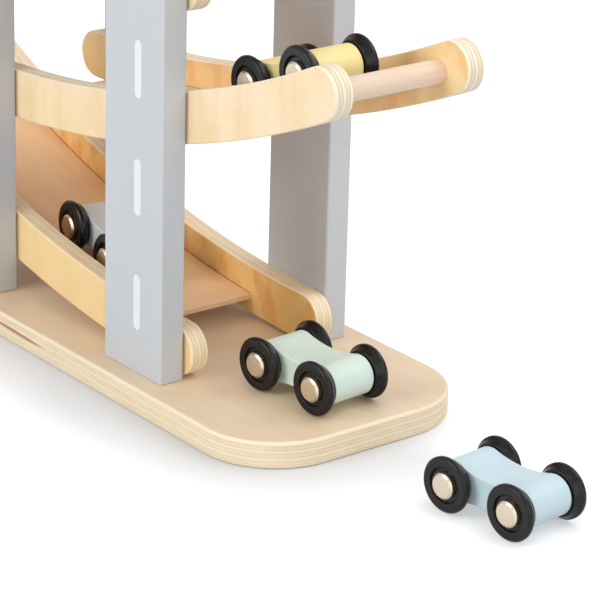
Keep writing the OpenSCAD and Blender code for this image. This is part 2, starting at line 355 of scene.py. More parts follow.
@dataclass(frozen=True)
class Pattern:
    """Soft noise over a surface.

    Its sizes are how far apart its features lie in each direction, in millimetres. A flat pattern has two
    sizes, and its seed stands for the third direction.
    """

    sizes: Tuple[float, ...]
    detail: float = 2.0
    rough: float = 0.5
    seed: float = 0.0

    def on(self, graph: Graph, *places: Term) -> Wire:
        """The pattern's value at a place.

        Args:
            graph: the tree that gets its nodes.
            places: the place in each direction, in millimetres.

        Returns:
            The value, about 0.5.
        """
        spots: List[Term] = [place / size for place, size in zip(places, self.sizes)]
        vector = graph.vector(*(spots + [self.seed])[:3])
        settings = {"Vector": vector, "Scale": 1.0, "Detail": self.detail, "Roughness": self.rough}
        return graph.node("ShaderNodeTexNoise", settings)[0]


class Coat(NamedTuple):
    """What a finish feeds to its shader: tone, roughness, and relief of about one unit with its depth."""

    tone: Wire
    rough: Wire
    height: Wire
    depth: float
    strength: float = 0.5
    metallic: float = 0.0
    specular: float = 0.5


class Finish(ABC):
    """A surface finish that makes one material."""

    name: str

    def material(self) -> bpy.types.Material:
        """The finish's material, made the first time it is asked for.

        Returns:
            The material.
        """
        found = bpy.data.materials.get(self.name)
        if found is not None:
            return found
        made = bpy.data.materials.new(self.name)
        made.use_nodes = True
        graph = Graph(made.node_tree)
        coat = self.coat(graph)
        relief = {"Strength": coat.strength, "Distance": coat.depth, "Height": coat.height}
        fed = {
            "Base Color": coat.tone,
            "Roughness": coat.rough,
            "Metallic": coat.metallic,
            "Specular IOR Level": coat.specular,
            "Normal": graph.node("ShaderNodeBump", relief)[0],
        }
        shader = made.node_tree.nodes["Principled BSDF"]
        for name, value in fed.items():
            graph.feed(shader.inputs[name], value)
        return made

    @abstractmethod
    def coat(self, graph: Graph) -> Coat:
        """Works out the finish.

        Args:
            graph: the material's tree.

        Returns:
            What its shader is fed with.
        """


class BounceGlow(NamedTuple):
    """Painted bounce light on the veneer, a more golden tone at some heights for light bounced off the
    wood: its tones, the middle height, and how far off it ends.
    """

    outer: Colour
    inner: Colour
    middle: float
    spread: float


class Streak(NamedTuple):
    """A dark knot in a cut edge: where it lies, how far it reaches and how thick it is."""

    middle: float
    half: float
    level: float
    thick: float


class BoardCreaseShade(NamedTuple):
    """A dark line of painted shade where a face runs into another piece: the face's middle and where the
    line starts.
    """

    middle: float
    inside: float
    outside: float


class PostShadeLine(NamedTuple):
    """A dark line of painted shade on the outer face beside each post, where the post's shadow falls: the
    post's middle and half its width.
    """

    middle: float
    half: float


@dataclass(frozen=True)
class PlyFinish(Finish):
    """Plywood: a grained face veneer, and plies with glue lines on every cut edge."""

    WAVE = Pattern((70.0, 24.0), seed=3.0)
    GRAIN = Pattern((42.0, 0.7), 4.0, 0.62, seed=1.0)
    FIGURE = Pattern((60.0, 7.0), seed=8.0)
    FLECK = Pattern((3.2, 0.24), 1.0, seed=11.0)
    PATCH = Pattern((19.0, 13.0), seed=21.0)
    CLOUD = Pattern((34.0, 26.0), 3.0, 0.6, seed=30.0)
    WAVER = Pattern((11.0, 11.0, 1.0))
    REED = Pattern((16.0, 16.0, 0.16), 2.0, 0.6)
    PORE = Pattern((0.5, 0.5, 1.0), 1.0)
    GRAIN_SWAY = 6.3
    FIGURE_SWAY = 28.0
    GRAIN_OVER = (0.42, 1.6)
    FIGURE_OVER = (0.38, 2.0)
    REED_OVER = (0.42, 0.7)
    CLOUD_MARK = (0.42, 0.72, 0.45)
    FLECK_RISE = (0.64, 0.76)
    FLECK_SHARE = 0.16
    PATCH_RISE = (0.44, 0.64)
    PATCH_SHARE = 0.3
    # This share and the next three paint light and shade: bounce light on the rails, and shade lines by the
    # board and the posts.
    BOUNCE_SHARE = 0.35
    BOARD_CREASE_SHARE = 0.8
    POST_SHADE_RISE = (0.4, 2.0)
    POST_SHADE_SHARE = 0.55
    CLEAR = 0.01
    VENEER = (0.04, 0.3)
    PLY_RISE = (0.1, 0.8)
    PORE_MARK = (0.55, 0.75, 0.25)
    GLUE_RISE = (0.05, 0.3)
    GLUE_MARK = (0.25, 0.6, 0.7)
    GLUE_LEAST = 0.3
    WAVER_STEP = 5.7
    PORE_STEP = 3.3
    STREAK_SLOPE = 0.02
    STREAK_WAVER = 0.6
    STREAK_RISE = (0.6, 1.05)
    STREAK_SHARE = 0.85
    ROUGH_GRAIN = 0.2
    ROUGH_CUT = 0.08
    FACE_RELIEF = (0.7, 0.3)
    CUT_RELIEF = (0.5, 0.6)

    name: str
    face: Colour
    deep: Colour
    pale_ply: Colour
    dark_ply: Colour
    glue: Colour
    source: Source
    along: Axis
    beside: Axis
    through: Axis
    start: float
    thick: float
    plies: int
    # The inner tone, its patches and the glow below are painted bounce light on the rails.
    inner: Optional[Colour] = None
    bounce_patch: Colour = tint(234, 152, 66)
    bounce_glow: Optional[BounceGlow] = None
    figure_share: float = 0.6
    ply_share: float = 0.6
    glue_share: float = 0.6
    streak: Optional[Streak] = None
    streak_tone: Colour = tint(176, 108, 72)
    # These three paint shade: a line along the board's crease at each rail, its dark tone, and a line
    # beside each post.
    joint: Optional[BoardCreaseShade] = None
    painted_shade_tone: Colour = tint(124, 72, 38)
    post_shade: Optional[PostShadeLine] = None
    rough: float = 0.46
    depth: float = 0.05 * MM

    def coat(self, graph: Graph) -> Coat:
        """Grain and flecks on the faces, plies and glue lines on the edges, with painted bounce light and
        painted shade lines where they are set.

        Args:
            graph: the material's tree.

        Returns:
            What its shader is fed with.
        """
        at = graph.places(self.source)
        a, b = at[self.along.value], at[self.beside.value]
        c = (abs(at[self.through.value]) - self.start).high(self.CLEAR).low(self.thick - self.CLEAR)
        skin = 1.0 - c.low(self.thick - c).rise(*self.VENEER)
        level = c / (self.thick / self.plies)
        # Painted bounce light: the veneer is warmer round the low ramps, for light bounced off the wood
        # below.
        bounce_warmth: Term = 0.0
        if self.bounce_glow is not None:
            turn = (at[Axis.Z.value] - self.bounce_glow.middle) / self.bounce_glow.spread * math.pi
            bounce_warmth = (turn.cos() + 1.0) * 0.5

        wave = self.WAVE.on(graph, a, b)
        grain = self.GRAIN.on(graph, a, b + wave * self.GRAIN_SWAY)
        fleck = self.FLECK.on(graph, a, b).rise(*self.FLECK_RISE)
        figure = self.FIGURE.on(graph, a, b + wave * self.FIGURE_SWAY)
        face = self.veneer(graph, a, b, level, bounce_warmth)
        for share in (
            self.CLOUD.on(graph, a, b).mark(*self.CLOUD_MARK),
            figure.over(*self.FIGURE_OVER) * self.figure_share,
            grain.over(*self.GRAIN_OVER) * self.figure_share,
        ):
            face = graph.mix(share, face, self.deep)
        face = graph.mix(fleck * self.FLECK_SHARE, face, self.glue)
        # Painted shade: a dark line on the board where it runs into a rail.
        if self.joint is not None:
            off = abs(b - self.joint.middle)
            close = off.mark(self.joint.inside, self.joint.outside, self.BOARD_CREASE_SHARE)
            face = graph.mix(close, face, self.painted_shade_tone)
        # Painted shade: a dark line on the rail's outer face beside each post, where the post's shadow
        # falls.
        if self.post_shade is not None:
            off = abs(abs(abs(at[Axis.X.value]) - self.post_shade.middle) - self.post_shade.half)
            close = (1.0 - off.rise(*self.POST_SHADE_RISE)) * (level > self.plies / 2) * self.POST_SHADE_SHARE
            face = graph.mix(close, face, self.painted_shade_tone)

        reed = self.REED.on(graph, a, b, c)
        cut, line = self.plywork(graph, a, b, c, level, reed)
        # The cut edges get the same painted bounce light.
        if self.bounce_glow is not None:
            cut = graph.mix(bounce_warmth * self.BOUNCE_SHARE, cut, self.bounce_glow.outer)
        bare = 1.0 - skin
        rough = grain.swing(self.ROUGH_GRAIN) + bare * self.ROUGH_CUT + self.rough
        face_high = grain * self.FACE_RELIEF[0] - fleck * self.FACE_RELIEF[1]
        cut_high = reed * self.CUT_RELIEF[0] - line * self.CUT_RELIEF[1]
        return Coat(graph.mix(skin, cut, face), rough, skin * face_high + bare * cut_high, self.depth)

    def veneer(self, graph: Graph, a: Wire, b: Wire, level: Wire, bounce_warmth: Term) -> Union[Colour, Wire]:
        """The face's tone under its grain, with painted bounce light where it is set: a warmer inner face
        with patches of deeper orange.

        Args:
            graph: the material's tree.
            a: place along the grain.
            b: place across the grain.
            level: depth in the board, counted in plies.
            bounce_warmth: how much painted bounce light warms the veneer, 0 to 1.

        Returns:
            The tone.
        """
        if self.inner is None or self.bounce_glow is None:
            return self.face
        # Painted bounce light: the inner face is warmer, with random patches of deeper orange.
        base = graph.mix(bounce_warmth, self.face, self.bounce_glow.outer)
        bounce_lining = graph.mix(bounce_warmth, self.inner, self.bounce_glow.inner)
        patch = self.PATCH.on(graph, a, b).rise(*self.PATCH_RISE)
        bounce_lining = graph.mix(patch * (bounce_warmth * self.BOUNCE_SHARE + self.PATCH_SHARE), bounce_lining, self.bounce_patch)
        return graph.mix(level > self.plies / 2, bounce_lining, base)

    def plywork(
        self, graph: Graph, a: Wire, b: Wire, c: Wire, level: Wire, reed: Wire
    ) -> Tuple[Wire, Wire]:
        """The tone of a cut edge: pale and dark plies, glue lines and a knot.

        Args:
            graph: the material's tree.
            a: place along the grain.
            b: place across the grain.
            c: depth in the board.
            level: the same depth, counted in plies.
            reed: fine noise along the plies.

        Returns:
            The tone, and 1 on the glue lines.
        """
        layer = level.floor()
        odd = (layer * 0.5).fract() * 2.0
        waver = self.WAVER.on(graph, a, b, layer * self.WAVER_STEP)
        pore = self.PORE.on(graph, a, b, layer * self.PORE_STEP + c)
        inside = (level > 0.5) * (self.plies - 0.5 - level > 0.0)
        seam = abs((level + 0.5).fract() - 0.5) * (self.thick / self.plies)
        line = (1.0 - seam.rise(*self.GLUE_RISE)) * inside
        line = line * (waver.mark(*self.GLUE_MARK) + self.GLUE_LEAST)
        dark = odd * waver.mark(*self.PLY_RISE, self.ply_share)
        cut = graph.mix(dark, self.pale_ply, self.dark_ply)
        cut = graph.mix(reed.over(*self.REED_OVER), cut, self.dark_ply)
        cut = graph.mix(odd * pore.mark(*self.PORE_MARK), cut, self.glue)
        cut = graph.mix(line * self.glue_share, cut, self.glue)
        if self.streak is not None:
            run = a - self.streak.middle
            drop = run * self.STREAK_SLOPE + c - self.streak.level + waver.swing(self.STREAK_WAVER)
            spot = ((run / self.streak.half) ** 2.0 + (drop / self.streak.thick) ** 2.0).root()
            knot = 1.0 - (spot + reed.swing(self.STREAK_WAVER)).rise(*self.STREAK_RISE)
            front = 1.0 - (b > 0.0)
            cut = graph.mix(knot * front * self.STREAK_SHARE, cut, self.streak_tone)
        return cut, line


@dataclass(frozen=True)
class BeechFinish(Finish):
    """Turned beech rod with rays along it."""

    STREAK = Pattern((34.0, 1.3, 1.3), 3.0, 0.6)
    RAY = Pattern((2.4, 0.3, 0.3), 1.0)
    STREAK_OVER = (0.38, 1.5)
    RAY_MARK = (0.6, 0.75, 0.3)
    ROUGH_STREAK = 0.2
    RELIEF = (0.6, 0.4)

    name: str
    pale: Colour
    ray: Colour
    along: Axis
    rough: float = 0.5
    depth: float = 0.04 * MM

    def coat(self, graph: Graph) -> Coat:
        """Long streaks and short rays.

        Args:
            graph: the material's tree.

        Returns:
            What its shader is fed with.
        """
        places = self.along.first(graph.places(Source.OBJECT))
        streak = self.STREAK.on(graph, *places)
        ray = self.RAY.on(graph, *places)
        wood = graph.mix(streak.over(*self.STREAK_OVER), self.pale, self.ray)
        wood = graph.mix(ray.mark(*self.RAY_MARK), wood, self.ray)
        rough = streak.swing(self.ROUGH_STREAK) + self.rough
        return Coat(wood, rough, streak * self.RELIEF[0] + ray * self.RELIEF[1], self.depth)


@dataclass(frozen=True)
class PaintFinish(Finish):
    """Satin paint over wood, with the grain just showing through."""

    CLOUD = Pattern((40.0, 14.0, 14.0))
    RIDGE = Pattern((26.0, 0.8, 0.8), 3.0, 0.6)
    PEEL = Pattern((0.9, 0.9, 0.9), 1.0)
    CLOUD_OVER = (0.4, 0.9)
    RIDGE_OVER = (0.5, 0.6)
    RUB_MARK = (0.4, 0.62, 0.45)
    ROUGH_PEEL = 0.16
    ROUGH_CLOUD = 0.12
    RELIEF = (0.7, 0.3)

    name: str
    colour: Colour
    deep: Colour
    worn: Colour
    source: Source
    along: Axis
    rough: float = 0.42
    depth: float = 0.018 * MM
    strength: float = 0.6

    def coat(self, graph: Graph) -> Coat:
        """Cloudy tone, grain ridges and paler edges.

        Args:
            graph: the material's tree.

        Returns:
            What its shader is fed with.
        """
        places = self.along.first(graph.places(self.source))
        cloud = self.CLOUD.on(graph, *places)
        ridge = self.RIDGE.on(graph, *places)
        peel = self.PEEL.on(graph, *places)
        paint = graph.mix(cloud.over(*self.CLOUD_OVER), self.colour, self.deep)
        paint = graph.mix(ridge.over(*self.RIDGE_OVER), paint, self.deep)
        paint = graph.mix(graph.edge() * ridge.mark(*self.RUB_MARK), paint, self.worn)
        rough = peel.swing(self.ROUGH_PEEL) + cloud.swing(self.ROUGH_CLOUD) + self.rough
        height = ridge * self.RELIEF[0] + peel * self.RELIEF[1]
        return Coat(paint, rough, height, self.depth, self.strength)


@dataclass(frozen=True)
class RubberFinish(Finish):
    """Black moulded wheel with a satin skin and a little dust."""

    SKIN = Pattern((0.45, 0.45, 0.45))
    PATCH = Pattern((6.0, 6.0, 6.0))
    PATCH_MARK = (0.42, 0.75, 0.35)
    EDGE_SHARE = 0.35
    DUST_RISE = (0.3, 0.7)
    ROUGH_SKIN = 0.1
    ROUGH_PATCH = 0.16

    name: str
    black: Colour
    dust: Colour
    rough: float = 0.27
    depth: float = 0.02 * MM
    specular: float = 0.28

    def coat(self, graph: Graph) -> Coat:
        """A fine skin, with dust on the edges.

        Args:
            graph: the material's tree.

        Returns:
            What its shader is fed with.
        """
        places = graph.places(Source.OWN)
        skin = self.SKIN.on(graph, *places)
        patch = self.PATCH.on(graph, *places)
        dusty = patch.mark(*self.PATCH_MARK) + graph.edge() * self.EDGE_SHARE
        dusty = dusty * skin.rise(*self.DUST_RISE)
        rough = skin.swing(self.ROUGH_SKIN) + patch.swing(self.ROUGH_PATCH) + self.rough
        tone = graph.mix(dusty, self.black, self.dust)
        return Coat(tone, rough, skin, self.depth, specular=self.specular)


@dataclass(frozen=True)
class SteelFinish(Finish):
    """Nickelled steel turned on a lathe, or plain drawn steel."""

    RING = Pattern((0.16, 0.3), seed=2.0)
    MARK = Pattern((1.8, 0.25, 0.6))
    CLOUD = Pattern((5.0, 5.0, 5.0))
    CLOUD_OVER = (0.3, 1.0)
    ROUGH_RING = 0.16
    ROUGH_MARK = 0.1
    RELIEF = (0.7, 0.3)

    name: str
    bright: Colour
    dull: Colour
    source: Source
    rough: float
    depth: float = 0.006 * MM

    def coat(self, graph: Graph) -> Coat:
        """Turning rings and fine handling marks.

        Args:
            graph: the material's tree.

        Returns:
            What its shader is fed with.
        """
        x, y, z = graph.places(self.source)
        ring = self.RING.on(graph, (x * x + y * y).root(), z)
        mark = self.MARK.on(graph, x, y, z)
        cloud = self.CLOUD.on(graph, x, y, z)
        tone = graph.mix(cloud.over(*self.CLOUD_OVER), self.bright, self.dull)
        rough = ring.swing(self.ROUGH_RING) + mark.swing(self.ROUGH_MARK) + self.rough
        height = ring * self.RELIEF[0] + mark * self.RELIEF[1]
        return Coat(tone, rough, height, self.depth, metallic=1.0)


class Finishes:
    """Every finish of the toy, under a maker's name."""

    # The rails carry painted bounce light on their inner faces and low ramps, and painted shade beside the
    # posts.
    RAIL = PlyFinish(
        name="sanded_birch_ply", face=tint(254, 231, 196), deep=tint(236, 200, 142),
        pale_ply=tint(253, 243, 223), dark_ply=tint(232, 203, 161), glue=tint(168, 126, 82),
        source=Source.OBJECT, along=Axis.Z, beside=Axis.X, through=Axis.Y,
        start=PLAN.channel / 2, thick=PLAN.rail_thick, plies=5, inner=tint(253, 224, 170),
        bounce_glow=BounceGlow(tint(251, 219, 158), tint(255, 211, 132), middle=45.0, spread=100.0),
        figure_share=0.42, ply_share=0.55, post_shade=PostShadeLine(PLAN.post_x, PLAN.post_width / 2),
    )
    BASE = PlyFinish(
        name="satin_birch_base", face=tint(237, 216, 188), deep=tint(225, 198, 160),
        pale_ply=tint(247, 232, 203), dark_ply=tint(234, 206, 162), glue=tint(196, 158, 112),
        source=Source.OBJECT, along=Axis.X, beside=Axis.Y, through=Axis.Z,
        start=0.0, thick=PLAN.base_thick, plies=7, figure_share=0.45, ply_share=0.55, glue_share=0.4,
        streak=Streak(middle=-12.0, half=26.0, level=6.5, thick=0.95),
    )
    # The board carries a painted shade line where it runs into each rail.
    RAMP = PlyFinish(
        name="thin_bent_ply", face=tint(252, 214, 170), deep=tint(240, 190, 136),
        pale_ply=tint(242, 214, 182), dark_ply=tint(222, 182, 140), glue=tint(180, 132, 92),
        source=Source.OWN, along=Axis.X, beside=Axis.Z, through=Axis.Y,
        start=0.0, thick=PLAN.board_thick, plies=3, ply_share=0.4, glue_share=0.3,
        joint=BoardCreaseShade(PLAN.board_reach, inside=27.9, outside=28.8),
    )
    DOWEL = BeechFinish("turned_beech", tint(239, 216, 195), tint(222, 186, 158), Axis.Y)
    POST = PaintFinish(
        "grey_post_paint", tint(202, 206, 210), tint(195, 199, 203), tint(216, 219, 222),
        Source.OBJECT, Axis.Z,
    )
    DASH = PaintFinish(
        "white_road_paint", tint(238, 240, 244), tint(231, 233, 238), tint(243, 244, 247),
        Source.OBJECT, Axis.Z, rough=0.5,
    )
    WHEEL = RubberFinish("black_wheel_satin", tint(15, 13, 15), tint(26, 23, 26))
    CAP = SteelFinish("nickel_cap", tint(206, 193, 174), tint(188, 174, 152), Source.OWN, 0.31)
    SCREW = SteelFinish("zinc_screw", tint(208, 208, 206), tint(176, 176, 174), Source.OBJECT, 0.38)


class CarColour(Enum):
    """The cars' paints: name, colour, deeper tone and rubbed tone."""

    MINT = ("mint", tint(214, 231, 221), tint(206, 226, 215), tint(228, 239, 233))
    BLUE = ("blue", tint(200, 222, 230), tint(190, 215, 225), tint(217, 232, 238))
    YELLOW = ("yellow", tint(244, 228, 160), tint(238, 218, 140), tint(249, 240, 196))
    GREY = ("grey", tint(208, 213, 215), tint(199, 205, 207), tint(222, 226, 227))

    def finish(self) -> PaintFinish:
        """The car's paint."""
        name, colour, deep, worn = self.value
        return PaintFinish(f"{name}_car_paint", colour, deep, worn, Source.OWN, Axis.X)


@dataclass(frozen=True)
class Sink:
    """A round hole in a prism: its middle, and the radius at each depth from the low face."""

    x: float
    y: float
    steps: Tuple[Flat, ...]
    through: bool = False
    count: int = 32


def stand(name: str, data: bpy.types.ID) -> Piece:
    """Puts a new object with that data in the scene.

    Args:
        name: the object's name.
        data: its mesh, lamp or camera.

    Returns:
        The object.
    """
    made = bpy.data.objects.new(name, data)
    bpy.context.scene.collection.objects.link(made)
    return made


class Shell:
    """Collects the points and faces of one closed mesh, in the piece's own frame."""

    def __init__(self) -> None:
        """Starts empty."""
        self.points: List[Vector] = []
        self.edges: List[float] = []
        self.faces: List[Sequence[int]] = []

    def ring(self, points: Sequence[Sequence[float]], edge: float = 0.0) -> List[int]:
        """Adds a row of points.

        Args:
            points: the points.
            edge: how much of a rounded edge they lie on, 0 to 1.

        Returns:
            Their numbers.
        """
        first = len(self.points)
        self.points += [Vector(p) for p in points]
        self.edges += [edge] * len(points)
        return list(range(first, len(self.points)))

    def bridge(self, lower: Sequence[int], upper: Sequence[int]) -> None:
        """Joins two closed rings of as many points with quads.

        Args:
            lower: one ring.
            upper: the other ring.
        """
        count = len(lower)
        for i in range(count):
            j = (i + 1) % count
            self.faces.append((lower[i], lower[j], upper[j], upper[i]))

    def fan(self, ring: Sequence[int], tip: int) -> None:
        """Closes a ring with triangles to one point."""
        self.faces += [(ring[i], ring[(i + 1) % len(ring)], tip) for i in range(len(ring))]

    def fill(self, outer: Sequence[int], holes: Sequence[Sequence[int]] = ()) -> None:
        """Closes a flat ring, leaving round holes open.

        Args:
            outer: the ring, in a plane of constant Z.
            holes: rings of the holes in it.
        """
        loops = [list(outer)] + [list(h) for h in holes]
        flat = [i for loop in loops for i in loop]
        edges, base = [], 0
        for loop in loops:
            edges += [(base + i, base + (i + 1) % len(loop)) for i in range(len(loop))]
            base += len(loop)
        middles = []
        for hole in holes:
            middle = sum((self.points[i] for i in hole), Vector()) / len(hole)
            middles.append((middle.xy, (self.points[hole[0]] - middle).length))
        verts, _, faces, origin, _, _ = delaunay_2d_cdt(
            [self.points[i].xy for i in flat], edges, [], 1, SNAP
        )
        for face in faces:
            centre = sum((verts[i] for i in face), Vector((0.0, 0.0))) / len(face)
            if all((centre - middle).length > radius * HOLE_SHARE for middle, radius in middles):
                self.faces.append([flat[origin[i][0]] for i in face])

    def piece(self, name: str, finish: Finish, place: Matrix) -> Piece:
        """Makes the object.

        Args:
            name: the piece's name.
            finish: its finish.
            place: where the piece's own frame lies in the toy's frame.

        Returns:
            The object, with its place in its mesh.
        """
        mesh = bpy.data.meshes.new(name)
        mesh.from_pydata([place @ p for p in self.points], [], self.faces)
        own = mesh.attributes.new(OWN, "FLOAT_VECTOR", "POINT")
        own.data.foreach_set("vector", [c for p in self.points for c in p])
        edge = mesh.attributes.new(EDGE, "FLOAT", "POINT")
        edge.data.foreach_set("value", self.edges)
        mesh.materials.append(finish.material())
        weld(mesh)
        return stand(name, mesh)


def weld(mesh: bpy.types.Mesh) -> None:
    """Merges doubles, turns faces outwards and keeps only true corners sharp.

    Args:
        mesh: the mesh to mend.
    """
    work = bmesh.new()
    work.from_mesh(mesh)
    bmesh.ops.remove_doubles(work, verts=work.verts, dist=WELD)
    bmesh.ops.dissolve_degenerate(work, edges=work.edges, dist=WELD)
    bmesh.ops.recalc_face_normals(work, faces=work.faces)
    for face in work.faces:
        face.smooth = True
    for edge in work.edges:
        edge.smooth = len(edge.link_faces) == 2 and edge.calc_face_angle(0.0) < SHARP
    work.to_mesh(mesh)
    work.free()


def arc(x: float, y: float, radius: float, start: float, stop: float, steps: int) -> List[Flat]:
    """Points along an arc.

    Args:
        x: middle of the arc.
        y: middle of the arc.
        radius: its radius.
        start: first angle, in radians.
        stop: last angle.
        steps: how many steps to take.

    Returns:
        The points, both ends included.
    """
    angles = [start + (stop - start) * i / steps for i in range(steps + 1)]
    return [(x + radius * math.cos(t), y + radius * math.sin(t)) for t in angles]


def circle(x: float, y: float, radius: float, count: int) -> List[Flat]:
    """Points round a circle, each once."""
    return arc(x, y, radius, 0.0, 2.0 * math.pi, count)[:-1]


def rounded_rectangle(length: float, width: float, corner: float, steps: int) -> Outline:
    """An outline that can be drawn smaller all round.

    Args:
        length: size along x.
        width: size along y.
        corner: radius of its corners.
        steps: steps round each corner.

    Returns:
        A function of the inset that gives the outline's points.
    """

    def outline(inset: float) -> List[Flat]:
        """The outline's points.

        Args:
            inset: how far it is drawn in.

        Returns:
            The points, once round.
        """
        points: List[Flat] = []
        reach = max(corner - inset, TIGHTEST)
        for turn, (sx, sy) in enumerate(((1, 1), (-1, 1), (-1, -1), (1, -1))):
            x, y = sx * (length / 2 - inset - reach), sy * (width / 2 - inset - reach)
            start = turn * math.pi / 2
            bend = arc(x, y, reach, start, start + math.pi / 2, steps)
            back = (math.sin(start) * SUPPORT, -math.cos(start) * SUPPORT)
            ahead = (-math.cos(start) * SUPPORT, -math.sin(start) * SUPPORT)
            points.append((bend[0][0] + back[0], bend[0][1] + back[1]))
            points += bend
            points.append((bend[-1][0] + ahead[0], bend[-1][1] + ahead[1]))
        return points

    return outline


def rounded_prism(
    outline: Outline,
    low: float,
    high: float,
    round_low: float,
    round_high: float,
    sinks: Sequence[Sink] = (),
    steps: int = 5,
) -> Shell:
    """A prism along its own Z with rounded edges.

    Args:
        outline: function of the inset that gives the outline's points.
        low: height of the low face.
        high: height of the high face.
        round_low: rounding of the low face's edge.
        round_high: rounding of the high face's edge.
        sinks: holes that start in the low face.
        steps: steps round each edge.

    Returns:
        The shell.
    """

    def edge_rows(level: float, radius: float, way: int) -> List[Row]:
        """Rows from a face to the wall.

        Args:
            level: height of the face.
            radius: rounding of its edge.
            way: 1 from the low face up, -1 from the high face down.

        Returns:
            Rows of (inset, height, edge share).
        """
        rows = [(radius + SUPPORT, level, 0.0)]
        for i in range(steps + 1):
            turn = math.pi / 2 * i / steps
            height = level + way * radius * (1 - math.cos(turn))
            rows.append((radius * (1 - math.sin(turn)), height, math.sin(2 * turn)))
        return rows + [(0.0, level + way * (radius + SUPPORT), 0.0)]

    shell = Shell()
    rows = edge_rows(low, round_low, 1) + edge_rows(high, round_high, -1)[::-1]
    rings = [shell.ring([(x, y, z) for x, y in outline(inset)], edge) for inset, z, edge in rows]
    for lower, upper in zip(rings, rings[1:]):
        shell.bridge(lower, upper)
    mouths: List[List[int]] = []
    ways_out: List[List[int]] = []
    for sink in sinks:
        walls = [
            shell.ring([(x, y, low + depth) for x, y in circle(sink.x, sink.y, radius, sink.count)])
            for radius, depth in sink.steps
        ]
        for outer, inner in zip(walls, walls[1:]):
            shell.bridge(outer, inner)
        mouths.append(walls[0])
        if sink.through:
            ways_out.append(walls[-1])
        else:
            shell.fill(walls[-1])
    shell.fill(rings[0], mouths)
    shell.fill(rings[-1], ways_out)
    return shell


def rounded_path(corners: Sequence[Row], closed: bool, steps: int = 5) -> List[Row]:
    """A path of straight runs with rounded corners.

    Args:
        corners: points (x, y, radius) in order.
        closed: whether the last corner runs back to the first.
        steps: steps round each corner.

    Returns:
        Points (x, y, edge share).
    """
    count = len(corners)
    out: List[Row] = []
    for i, (x, y, radius) in enumerate(corners):
        here = Vector((x, y))
        if radius == 0.0 or (not closed and i in (0, count - 1)):
            out.append((x, y, 0.0))
            continue
        back = (Vector(corners[i - 1][:2]) - here).normalized()
        ahead = (Vector(corners[(i + 1) % count][:2]) - here).normalized()
        half = back.angle(ahead) / 2
        reach = radius / math.tan(half)
        middle = here + (back + ahead).normalized() * (radius / math.sin(half))
        first, last = here + back * reach - middle, here + ahead * reach - middle
        turn = first.angle(last)
        lead = here + back * (reach + SUPPORT / 2)
        tail = here + ahead * (reach + SUPPORT / 2)
        out.append((lead.x, lead.y, 0.0))
        for k in range(steps + 1):
            share = k / steps
            spoke = first * math.sin((1 - share) * turn) + last * math.sin(share * turn)
            point = middle + spoke / math.sin(turn)
            out.append((point.x, point.y, math.sin(math.pi * share)))
        out.append((tail.x, tail.y, 0.0))
    return out


def lathe(profile: Sequence[Row], closed: bool, count: int = 72) -> Shell:
    """Turns a profile about its own Z.

    Args:
        profile: points (radius, height, edge share).
        closed: whether the profile is a loop; otherwise both its ends lie on the axis.
        count: points round each ring.

    Returns:
        The shell.
    """
    shell = Shell()
    rings: List[List[int]] = []
    tips: List[int] = []
    for radius, height, edge in profile:
        if radius < WELD:
            tips += shell.ring([(0.0, 0.0, height)], edge)
        else:
            points = [(x, y, height) for x, y in circle(0.0, 0.0, radius, count)]
            rings.append(shell.ring(points, edge))
    for lower, upper in zip(rings, rings[1:] + (rings[:1] if closed else [])):
        shell.bridge(lower, upper)
    if not closed:
        shell.fan(rings[0], tips[0])
        shell.fan(rings[-1], tips[-1])
    return shell


class Growth:
    """A geometry tree with named inputs, whose result is kept as a plain mesh."""

    def __init__(self, name: str, sizes: Sequence[str]) -> None:
        """Starts a tree.

        Args:
            name: the tree's name.
            sizes: names of its number inputs.
        """
        self.tree = bpy.data.node_groups.new(name, "GeometryNodeTree")
        add = self.tree.interface.new_socket
        add("Geometry", in_out="OUTPUT", socket_type="NodeSocketGeometry")
        kinds = {size: "NodeSocketFloat" for size in sizes}
        kinds["Finish"] = "NodeSocketMaterial"
        self.keys: Dict[str, str] = {}
        for key, kind in kinds.items():
            self.keys[key] = add(key, in_out="INPUT", socket_type=kind).identifier
        self.graph = Graph(self.tree)
        self.given = self.graph.node("NodeGroupInput")

    def size(self, name: str) -> Wire:
        """A named input."""
        return self.given[name]

    def close(self, geometry: Wire) -> None:
        """Ends the tree in plain geometry with its finish.

        Args:
            geometry: what the tree has made.
        """
        plain = self.graph.node("GeometryNodeRealizeInstances", {"Geometry": geometry})
        coat = {"Geometry": plain[0], "Material": self.size("Finish")}
        dressed = self.graph.node("GeometryNodeSetMaterial", coat)
        self.graph.node("NodeGroupOutput", {0: dressed[0]})

    def grow(self, name: str, finish: Finish, sizes: Mapping[str, float]) -> Piece:
        """Runs the tree and keeps what it makes.

        Args:
            name: the piece's name.
            finish: its finish.
            sizes: values of the named inputs.

        Returns:
            The object, with a plain mesh.
        """
        made = stand(name, bpy.data.meshes.new(name))
        modifier = made.modifiers.new("grow", "NODES")
        modifier.node_group = self.tree
        for size, value in sizes.items():
            modifier[self.keys[size]] = float(value)
        modifier[self.keys["Finish"]] = finish.material()
        depsgraph = bpy.context.evaluated_depsgraph_get()
        blank = made.data
        grown = bpy.data.meshes.new_from_object(made.evaluated_get(depsgraph), depsgraph=depsgraph)
        made.modifiers.clear()
        made.data = grown
        bpy.data.meshes.remove(blank)
        grown.name = name
        weld(grown)
        return made


